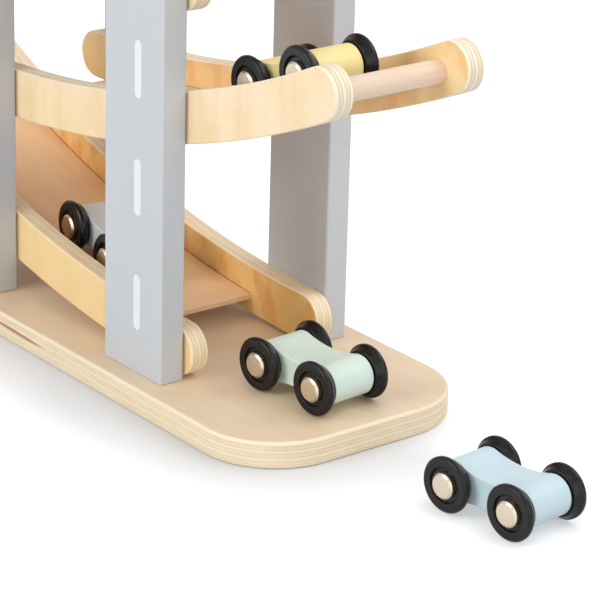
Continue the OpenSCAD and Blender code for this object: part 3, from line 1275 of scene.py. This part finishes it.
class BentStrip(Growth):
    """A strip bent along an arc, with rounded edges and round or square ends.

    It starts as a flat grid. Its columns go once round the strip in four laps: along its outside, round the
    high end, back along its inside and round the low end. Its rows go across it. From each side there are
    two rows on the face, then those round the edge, and one on the wall.
    """

    AROUND = 193
    LAPS = 4.0
    FACE_ROWS = 2
    FILLET_STEPS = 5

    def __init__(self) -> None:
        """Builds the tree."""
        super().__init__(
            "bent_strip",
            (
                "Arc Radius", "Height", "Width", "Low Angle", "High Angle", "Rounding",
                "End Power", "Way", "Low X", "Arc Z", "Start Y",
            ),
        )
        graph, size = self.graph, self.size
        wall_row = self.FACE_ROWS + self.FILLET_STEPS + 1
        rows = 2 * (wall_row + 1)
        last = self.AROUND - 1.0
        cells = {"Size X": last, "Size Y": rows - 1.0, "Vertices X": self.AROUND, "Vertices Y": rows}
        grid = graph.node("GeometryNodeMeshGrid", cells)
        u, v, _ = graph.parts(graph.node("GeometryNodeInputPosition")[0])
        lap = (u + last / 2) * (self.LAPS / last)
        row = v + (rows - 1) / 2
        far = row > (rows - 1) / 2
        near_row = row.low(rows - 1.0 - row)

        turn = ((near_row - self.FACE_ROWS) / self.FILLET_STEPS).unit() * (math.pi / 2)
        rounding = size("Rounding")
        half = size("Height") * 0.5
        skin = rounding + SUPPORT
        depth = rounding * (1.0 - turn.cos()) + (near_row - (wall_row - 1)).unit() * SUPPORT
        inset = (
            rounding * (1.0 - turn.sin())
            + (self.FACE_ROWS - near_row).unit() * SUPPORT
            + (1.0 - near_row).unit() * (half - skin)
        )
        across = depth + far * (size("Width") - depth * 2.0)

        share = lap.unit() - (lap - 2.0).unit()
        angle = size("Low Angle") + (size("High Angle") - size("Low Angle")) * share
        swing = ((lap - 1.0).unit() + (lap - 3.0).unit()) * math.pi
        reach = half - inset
        out = swing.cos().sign() * abs(swing.cos()) ** size("End Power") * reach
        ahead = swing.sin().sign() * abs(swing.sin()) ** size("End Power") * reach
        middle = size("Arc Radius") + half
        radial = middle + out
        x = radial * angle.sin() + ahead * angle.cos() - size("Low X")
        z = size("Arc Z") - radial * angle.cos() + ahead * angle.sin()
        place = graph.vector(x * size("Way"), size("Start Y") + across, z)
        own = graph.vector(middle * angle + ahead, out + half, across)

        edged = self.store(grid["Mesh"], EDGE, "FLOAT", (turn * 2.0).sin())
        owned = self.store(edged, OWN, "FLOAT_VECTOR", own)
        bent = graph.node("GeometryNodeSetPosition", {"Geometry": owned, "Position": place})
        self.close(bent[0])

    def store(self, geometry: Wire, name: str, kind: str, value: Wire) -> Wire:
        """Keeps a value on the points under a name."""
        kept = {"Geometry": geometry, "Name": name, "Value": value}
        return self.graph.node("GeometryNodeStoreNamedAttribute", kept, data_type=kind, domain="POINT")[0]


class RoadDashes(Growth):
    """A row of painted dashes with round ends, climbing a post."""

    ROUND_SHARE = 0.499
    ROUND_STEPS = 8

    def __init__(self) -> None:
        """Builds the tree."""
        super().__init__(
            "road_dashes",
            (
                "Count", "Pitch", "Dash Length", "Dash Width", "Film",
                "Middle X", "Face Y", "First Z", "Way",
            ),
        )
        graph, size = self.graph, self.size
        box = {"Width": size("Dash Width"), "Height": size("Dash Length")}
        bar = graph.node("GeometryNodeCurvePrimitiveQuadrilateral", box)
        ends = {"Curve": bar[0], "Radius": size("Dash Width") * self.ROUND_SHARE, "Count": self.ROUND_STEPS}
        capsule = graph.node("GeometryNodeFilletCurve", ends, mode="POLY")
        sheet = graph.node("GeometryNodeFillCurve", {"Curve": capsule[0]})
        rise = {"Mesh": sheet[0], "Offset Scale": size("Film"), "Individual": False}
        lifted = graph.node("GeometryNodeExtrudeMesh", rise, mode="FACES")
        closed = graph.node("GeometryNodeJoinGeometry")
        for part in (sheet, lifted):
            graph.feed(closed.node.inputs[0], part[0])
        line = {
            "Count": size("Count"),
            "Start Location": graph.vector(size("Middle X"), size("Face Y"), size("First Z")),
            "Offset": graph.vector(0.0, 0.0, size("Pitch")),
        }
        spots = graph.node("GeometryNodeMeshLine", line, mode="OFFSET", count_mode="TOTAL")
        turn = graph.vector(size("Way") * (-math.pi / 2), 0.0, 0.0)
        copies = {"Points": spots[0], "Instance": closed[0], "Rotation": turn}
        self.close(graph.node("GeometryNodeInstanceOnPoints", copies)[0])


@dataclass
class BaseBoard:
    """The plywood base board, with its screw sinks."""

    length: float = PLAN.base_length * MM
    width: float = PLAN.base_width * MM
    thick: float = PLAN.base_thick * MM
    corner: float = PLAN.base_corner * MM
    corner_steps: int = 28
    edge: float = 1.5 * MM
    post_x: float = PLAN.post_x * MM
    post_y: float = PLAN.post_y * MM
    screw_spread: float = 6 * MM
    sink_steps: Tuple[Flat, ...] = (
        (4.2 * MM, 0.0), (4.2 * MM, 0.8 * MM), (2.2 * MM, 2.8 * MM), (2.2 * MM, 11.0 * MM),
    )

    def build(self) -> Piece:
        """Makes the board.

        Returns:
            The board.
        """
        sinks: List[Sink] = []
        for end in End:
            for side in Side:
                for step in (-self.screw_spread, self.screw_spread):
                    x, y = end.value * self.post_x + step, side.value * self.post_y
                    sinks.append(Sink(x, y, self.sink_steps))
        outline = rounded_rectangle(self.length, self.width, self.corner, self.corner_steps)
        shell = rounded_prism(outline, 0.0, self.thick, self.edge, self.edge, sinks)
        return shell.piece("base_board_ply", Finishes.BASE, Matrix.Identity(4))

    def dress(self) -> None:
        """Puts the board in the place of its plain solid."""
        settle(self.build(), "track", "plywood_base", "base_board")


@dataclass
class Post:
    """A painted post with road dashes on its outer face."""

    end: End
    side: Side
    width: float = PLAN.post_width * MM
    thick: float = 12 * MM
    foot: float = PLAN.base_thick * MM
    height: float = 292 * MM
    edge: float = 0.9 * MM
    corner_steps: int = 6
    foot_edge: float = 0.6 * MM
    x: float = PLAN.post_x * MM
    y: float = PLAN.post_y * MM
    dash_count: int = 5
    dash_pitch: float = 51.4 * MM
    dash_length: float = 24.8 * MM
    dash_width: float = 4.8 * MM
    dash_first: float = 44.4 * MM
    near_dash_shift: float = 3.3 * MM
    film: float = 0.12 * MM
    film_sink: float = 0.04 * MM

    def name(self) -> str:
        """The post's node."""
        return f"post_{self.side.name.lower()}_{self.end.name.lower()}"

    def build(self) -> Piece:
        """Makes the post.

        Returns:
            The post.
        """
        outline = rounded_rectangle(self.width, self.thick, self.edge, self.corner_steps)
        shell = rounded_prism(outline, 0.0, self.height, self.foot_edge, self.edge)
        place = Matrix.Translation((self.end.value * self.x, self.side.value * self.y, self.foot))
        return shell.piece(f"{self.name()}_painted", Finishes.POST, place)

    def build_dashes(self, dashes: RoadDashes) -> Piece:
        """Makes the post's dashes, which sit off the middle of the near post.

        Args:
            dashes: the tree that makes them.

        Returns:
            All dashes of the post, as one mesh.
        """
        near = (self.side, self.end) == (Side.FRONT, End.RIGHT)
        sizes = {
            "Count": self.dash_count,
            "Pitch": self.dash_pitch,
            "Dash Length": self.dash_length,
            "Dash Width": self.dash_width,
            "Film": self.film,
            "Middle X": self.end.value * self.x + (self.near_dash_shift if near else 0.0),
            "Face Y": self.side.value * (self.y + self.thick / 2 - self.film_sink),
            "First Z": self.dash_first,
            "Way": self.side.value,
        }
        return dashes.grow(f"{self.name()}_dashes", Finishes.DASH, sizes)

    def dress(self, dashes: RoadDashes) -> None:
        """Puts the post and its dashes in place, and gives its screws their finish.

        Args:
            dashes: the tree that makes the dashes.
        """
        settle(self.build(), "track", "post_paint", self.name())
        settle(self.build_dashes(dashes), "track", "post_paint")
        cover(frame["nodes"][f"{self.name()}_screws"], Finishes.SCREW)


@dataclass
class Ramp:
    """One bent ramp: two rails, a thin board, a stop dowel and its pins."""

    level: int
    arc_radius: float = 600 * MM
    rail_height: float = 22 * MM
    rail_thick: float = PLAN.rail_thick * MM
    rail_power: float = 1.0
    channel: float = PLAN.channel * MM
    low_x: float = 86 * MM
    first_arc_z: float = 635 * MM
    pitch: float = 80 * MM
    low_angle: float = math.radians(0.5)
    high_angle: float = math.radians(25.0)
    rail_edge: float = 0.8 * MM
    board_drop: float = 12.5 * MM
    board_thick: float = PLAN.board_thick * MM
    board_low: float = math.radians(3.9)
    board_high: float = math.radians(22.9)
    board_reach: float = PLAN.board_reach * MM
    board_edge: float = 0.35 * MM
    board_power: float = 0.3

    def bend(
        self, strip: BentStrip, part: str, finish: Finish, sizes: Mapping[str, float]
    ) -> Piece:
        """Bends one strip of the ramp.

        Args:
            strip: the tree that makes it.
            part: the strip's name on this ramp.
            finish: its finish.
            sizes: its own sizes.

        Returns:
            The strip.
        """
        shared = {
            "Way": 1.0 if self.level % 2 == 0 else -1.0,
            "Low X": self.low_x,
            "Arc Z": self.first_arc_z + (self.level - 1) * self.pitch,
        }
        return strip.grow(f"ramp_{self.level}_{part}_ply", finish, {**shared, **sizes})

    def build_rail(self, strip: BentStrip, side: Side) -> Piece:
        """Makes one rail.

        Args:
            strip: the tree that makes it.
            side: the side that it stands on.

        Returns:
            The rail.
        """
        inner = self.channel / 2
        sizes = {
            "Arc Radius": self.arc_radius,
            "Height": self.rail_height,
            "Width": self.rail_thick,
            "Low Angle": self.low_angle,
            "High Angle": self.high_angle,
            "Rounding": self.rail_edge,
            "End Power": self.rail_power,
            "Start Y": inner if side is Side.BACK else -inner - self.rail_thick,
        }
        return self.bend(strip, f"{side.name.lower()}_rail", Finishes.RAIL, sizes)

    def build_board(self, strip: BentStrip) -> Piece:
        """Makes the thin board that the cars run on.

        Args:
            strip: the tree that makes it.

        Returns:
            The board.
        """
        radius = self.arc_radius + self.board_drop
        nose = self.board_thick / 2 / radius
        sizes = {
            "Arc Radius": radius,
            "Height": self.board_thick,
            "Width": self.board_reach * 2,
            "Low Angle": self.board_low + nose,
            "High Angle": self.board_high - nose,
            "Rounding": self.board_edge,
            "End Power": self.board_power,
            "Start Y": -self.board_reach,
        }
        return self.bend(strip, "board", Finishes.RAMP, sizes)

    def dress(self, strip: BentStrip) -> None:
        """Puts the ramp's pieces in place.

        Args:
            strip: the tree that makes its strips.
        """
        for side in Side:
            node = f"ramp_{self.level}_{side.name.lower()}_rail"
            settle(self.build_rail(strip, side), "track", "plywood_rail", node)
        settle(self.build_board(strip), "track", "ramp_wood", f"ramp_{self.level}_board")
        for part in ("stop_dowel", "pins"):
            cover(frame["nodes"][f"ramp_{self.level}_{part}"], Finishes.DOWEL)


@dataclass
class Car:
    """A little car: a waisted body on two wheelsets."""

    colour: CarColour
    body_width: float = 22 * MM
    end_radius: float = 8.6 * MM
    waist: float = 12 * MM
    wheel_base: float = 34 * MM
    body_edge: float = 0.5 * MM
    bore: float = 2.06 * MM
    wheel_y: float = 15.5 * MM
    end_steps: int = 40
    waist_steps: int = 28
    wheel_profile: Tuple[Row, ...] = (
        (2.05, 0.1, 0.0), (7.1, 0.1, 0.5), (7.8, 1.35, 0.4), (10.9, 1.4, 0.9), (11.75, 0.5, 0.7),
        (11.75, -0.8, 0.9), (10.5, -2.3, 1.4), (9.6, -4.1, 0.5), (2.05, -4.1, 0.0),
    )
    cap_profile: Tuple[Row, ...] = (
        (0.0, 18.5, 0.0), (4.6, 18.44, 0.3), (5.5, 17.65, 0.4), (5.5, 15.82, 0.0), (2.0, 15.82, 0.0),
    )

    def name(self, part: str) -> str:
        """The name of one of the car's parts."""
        return f"{self.colour.value[0]}_{part}"

    def axle_middle(self, axle: Axle) -> Vector:
        """The middle of an imported axle."""
        low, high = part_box(self.name(f"{axle.value}_axle"))
        return (low + high) / 2

    def place(self) -> Matrix:
        """Finds the car from its imported axles.

        Returns:
            The car's own frame: nose along X, axles along Y.
        """
        front, rear = self.axle_middle(Axle.FRONT), self.axle_middle(Axle.REAR)
        nose = (front - rear).normalized()
        spin = next(j for j in frame["joints"] if j["name"] == self.name("front_spin"))
        side = Vector(spin["axis"]).normalized()
        turn = Matrix((nose, side, nose.cross(side))).transposed().to_4x4()
        return Matrix.Translation((front + rear) / 2) @ turn

    def outline(self, inset: float) -> List[Flat]:
        """The waisted outline from the side.

        Args:
            inset: how far it is drawn in.

        Returns:
            The points, once round.
        """
        ax, waist = self.wheel_base / 2, self.waist / 2
        bend = (ax * ax + waist * waist - self.end_radius ** 2) / (2 * (self.end_radius - waist))
        tilt = math.atan2(waist + bend, -ax)
        end, hollow = self.end_radius - inset, bend + inset
        right = arc(ax, 0.0, end, -tilt, tilt, self.end_steps)
        top = arc(0.0, waist + bend, hollow, tilt - math.pi, -tilt, self.waist_steps)
        left = arc(-ax, 0.0, end, math.pi - tilt, math.pi + tilt, self.end_steps)
        under = arc(0.0, -waist - bend, hollow, tilt, math.pi - tilt, self.waist_steps)
        return right + top[1:-1] + left + under[1:-1]

    def build_body(self) -> Piece:
        """Makes the painted body.

        Returns:
            The body.
        """
        half = self.body_width / 2
        steps = ((self.bore, 0.0), (self.bore, self.body_width))
        bores = [Sink(end.value * self.wheel_base / 2, 0.0, steps, True) for end in End]
        shell = rounded_prism(self.outline, -half, half, self.body_edge, self.body_edge, bores)
        lay = self.place() @ Matrix.Rotation(math.radians(90.0), 4, "X")
        return shell.piece(self.name("body_painted"), self.colour.finish(), lay)

    def wheelset_place(self, axle: Axle, side: Side) -> Matrix:
        """Finds one side of a wheelset.

        Args:
            axle: the axle.
            side: the side of it.

        Returns:
            Its frame, with Z along the axle and outwards.
        """
        outwards = Matrix.Rotation(math.radians(-90.0 * side.value), 4, "X")
        return Matrix.Translation(self.axle_middle(axle)) @ self.place().to_3x3().to_4x4() @ outwards

    def build_wheel(self, axle: Axle, side: Side) -> Piece:
        """Makes one wheel.

        Args:
            axle: the axle that it turns with.
            side: the side that it is on.

        Returns:
            The wheel.
        """
        corners = [(r * MM, h * MM + self.wheel_y, f * MM) for r, h, f in self.wheel_profile]
        shell = lathe(rounded_path(corners, True), True)
        where = "right" if side is Side.FRONT else "left"
        name = self.name(f"{axle.value}_{where}_wheel")
        return shell.piece(name, Finishes.WHEEL, self.wheelset_place(axle, side))

    def build_axle(self, axle: Axle) -> Piece:
        """Makes an axle with its two caps.

        Args:
            axle: which axle.

        Returns:
            The axle.
        """
        upper = rounded_path([(r * MM, h * MM, f * MM) for r, h, f in self.cap_profile], False)
        lower = [(r, -h, e) for r, h, e in reversed(upper)]
        name = self.name(f"{axle.value}_axle_capped")
        return lathe(upper + lower, False).piece(name, Finishes.CAP, self.wheelset_place(axle, Side.BACK))

    def dress(self) -> None:
        """Puts the car's pieces in place."""
        settle(self.build_body(), self.name("car"), self.name("paint"), self.name("body"))
        for axle in Axle:
            body = self.name(f"{axle.value}_wheelset")
            for side in Side:
                settle(self.build_wheel(axle, side), body, "black_wheel", self.name(f"{axle.value}_wheels"))
            settle(self.build_axle(axle), body, "steel", self.name(f"{axle.value}_axle"))


def cover(node: Piece, finish: Finish) -> None:
    """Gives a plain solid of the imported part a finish.

    Args:
        node: the solid.
        finish: its finish.
    """
    node.data.materials.clear()
    node.data.materials.append(finish.material())
    log.info("finish %s on %s", finish.name, node.name)


def settle(piece: Piece, body: str, slot: str, *nodes: str) -> None:
    """Lets a piece ride on its body and stand for its plain solids.

    Args:
        piece: the piece.
        body: the body that it moves with.
        slot: the record's material slot; not used.
        nodes: the solids that it stands for.
    """
    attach(piece, body)
    if nodes:
        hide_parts(*nodes)
    log.info("piece %s on %s, %d faces", piece.name, body, len(piece.data.polygons))


@dataclass(frozen=True)
class Lamp:
    """One soft square lamp."""

    name: str
    place: Row
    size: float
    power: float
    target: Row = (0.06, 0.0, 0.12)

    def build(self) -> None:
        """Makes the lamp."""
        data = bpy.data.lights.new(self.name, "AREA")
        data.shape = "SQUARE"
        data.size = self.size
        data.energy = self.power
        made = stand(self.name, data)
        made.location = self.place
        aim = Vector(self.target) - Vector(self.place)
        made.rotation_euler = aim.to_track_quat("-Z", "Y").to_euler()


def seen(graph: Graph) -> Wire:
    """1 for rays that show the stage in the picture, in metal or in glass."""
    ray = graph.node("ShaderNodeLightPath")
    return (ray["Is Camera Ray"] + ray["Is Glossy Ray"] + ray["Is Transmission Ray"]).unit()


@dataclass
class Floor:
    """White paper under the toy, which keeps the lamps' soft shadow and gets a painted shadow as well.

    The paper has a glow that turns it white. It is lower near the base board's front and right end, by the
    distance from the board in millimetres, and lower still close to whatever stands on the paper, as
    ambient occlusion finds it; both lows are painted shadow.
    """

    reach: float = 14.0
    tone: Colour = (0.62, 0.63, 0.645, 1.0)
    painted_shadow_glow: float = 0.47
    high_glow: float = 0.7
    rise: Flat = (5.0, 62.0)
    back: Flat = (0.0, 60.0)
    right_end: Flat = (20.0, 140.0)
    right_painted_shadow: float = 0.14
    shade_reach: float = 0.07
    shade_samples: int = 16
    shade_power: float = 4.0
    shade_share: float = 0.8
    calm: Flat = (190.0, 222.0)
    calm_share: float = 0.42

    def glow(self, graph: Graph) -> Wire:
        """How much the paper glows at a place, with the painted shadow taken off.

        Args:
            graph: the paper's tree.

        Returns:
            The glow, 0 to 1.
        """
        x, y, _ = graph.places(Source.OBJECT)
        # Painted shadow: the glow rises with the distance from the board's front and right end.
        past_x = (abs(x) - (PLAN.base_length / 2 - PLAN.base_corner)).high(0.0)
        past_y = (abs(y) - (PLAN.base_width / 2 - PLAN.base_corner)).high(0.0)
        apart = (past_x ** 2.0 + past_y ** 2.0).root() - PLAN.base_corner
        behind = y.rise(*self.back)
        away = apart.rise(*self.rise).high(behind)
        # Painted contact shadow: less glow where ambient occlusion finds things close by, weaker near the
        # car and behind the board.
        around = {"Distance": self.shade_reach}
        open_sky = graph.node("ShaderNodeAmbientOcclusion", around, samples=self.shade_samples)["AO"]
        calm = x.rise(*self.calm).high(behind)
        painted_shade = (1.0 - open_sky ** self.shade_power) * (self.shade_share - calm * self.calm_share)
        # Painted shadow: still less glow round the board's right end.
        low = self.painted_shadow_glow - x.rise(*self.right_end) * self.right_painted_shadow
        return (away * (self.high_glow - low) + low) * (1.0 - painted_shade)

    def build(self) -> None:
        """Lays the paper, which can't be seen from under it."""
        mesh = bpy.data.meshes.new("white_floor")
        corners = [(x * self.reach, y * self.reach, 0.0) for x, y in ((-1, -1), (1, -1), (1, 1), (-1, 1))]
        mesh.from_pydata(corners, [], [(0, 1, 2, 3)])
        paint = bpy.data.materials.new("white_paper")
        paint.use_nodes = True
        paint.node_tree.nodes.clear()
        graph = Graph(paint.node_tree)
        paper = graph.node("ShaderNodeBsdfDiffuse", {"Color": self.tone})
        light = {"Color": graph.mix(self.glow(graph), BLACK, WHITE), "Strength": seen(graph)}
        glow = graph.node("ShaderNodeEmission", light)
        lit = graph.node("ShaderNodeAddShader", {0: paper[0], 1: glow[0]})
        clear = graph.node("ShaderNodeBsdfTransparent")
        under = graph.node("ShaderNodeNewGeometry")["Backfacing"]
        both = graph.node("ShaderNodeMixShader", {0: under, 1: lit[0], 2: clear[0]})
        graph.node("ShaderNodeOutputMaterial", {"Surface": both[0]})
        mesh.materials.append(paint)
        stand("white_floor", mesh)


@dataclass
class Studio:
    """White floor, soft light and the camera at the photograph's angle."""

    azimuth: float = 0.9016548042
    elevation: float = 0.3699731579
    roll: float = 0.0277879296
    eye: Row = (1.0172627772, -0.7124424217, 0.4955608594)
    focal_pixels: float = 2928.7208
    image_width: float = 600.0
    sensor: float = 36.0
    clip: Flat = (0.05, 60.0)
    sky: float = 0.46
    lamps: Tuple[Lamp, ...] = (
        Lamp("back_lamp", (0.7, 0.7, 1.6), 1.4, 14.0),
        Lamp("front_lamp", (-0.15, -1.75, 1.0), 1.2, 18.0),
        Lamp("camera_lamp", (1.45, -1.15, 0.5), 1.2, 4.0),
        Lamp("right_lamp", (2.0, 0.05, 0.7), 1.4, 7.0),
    )

    def camera(self) -> None:
        """Sets the camera."""
        data = bpy.data.cameras.new("photo_camera")
        data.sensor_width = self.sensor
        data.lens = self.focal_pixels / self.image_width * self.sensor
        data.clip_start, data.clip_end = self.clip
        made = stand("photo_camera", data)
        a, e, t = self.azimuth, self.elevation, self.roll
        back = Vector((math.sin(a) * math.cos(e), -math.cos(a) * math.cos(e), math.sin(e)))
        flat = Vector((math.cos(a), math.sin(a), 0.0))
        rise = back.cross(flat)
        right = flat * math.cos(t) + rise * math.sin(t)
        up = rise * math.cos(t) - flat * math.sin(t)
        turn = Matrix((right, up, back)).transposed().to_4x4()
        made.matrix_world = Matrix.Translation(self.eye) @ turn
        bpy.context.scene.camera = made

    def world(self) -> None:
        """Makes the white surroundings."""
        world = bpy.data.worlds.new("white_studio")
        bpy.context.scene.world = world
        world.use_nodes = True
        world.node_tree.nodes.clear()
        graph = Graph(world.node_tree)
        strength = seen(graph) * (1.0 - self.sky) + self.sky
        sky = graph.node("ShaderNodeBackground", {"Color": WHITE, "Strength": strength})
        graph.node("ShaderNodeOutputWorld", {"Surface": sky[0]})

    def build(self) -> None:
        """Sets the stage."""
        bpy.context.scene.view_settings.view_transform = "Standard"
        self.camera()
        Floor().build()
        self.world()
        for lamp in self.lamps:
            lamp.build()


def main() -> None:
    """Dresses the toy, piece by piece."""
    logging.basicConfig(level=logging.INFO, format="%(name)s: %(message)s")
    Studio().build()
    strip, dashes = BentStrip(), RoadDashes()
    BaseBoard().dress()
    for side in Side:
        for end in End:
            Post(end, side).dress(dashes)
    for level in range(1, RAMPS + 1):
        Ramp(level).dress(strip)
    for colour in CarColour:
        Car(colour).dress()


if __name__ == "__main__":
    main()
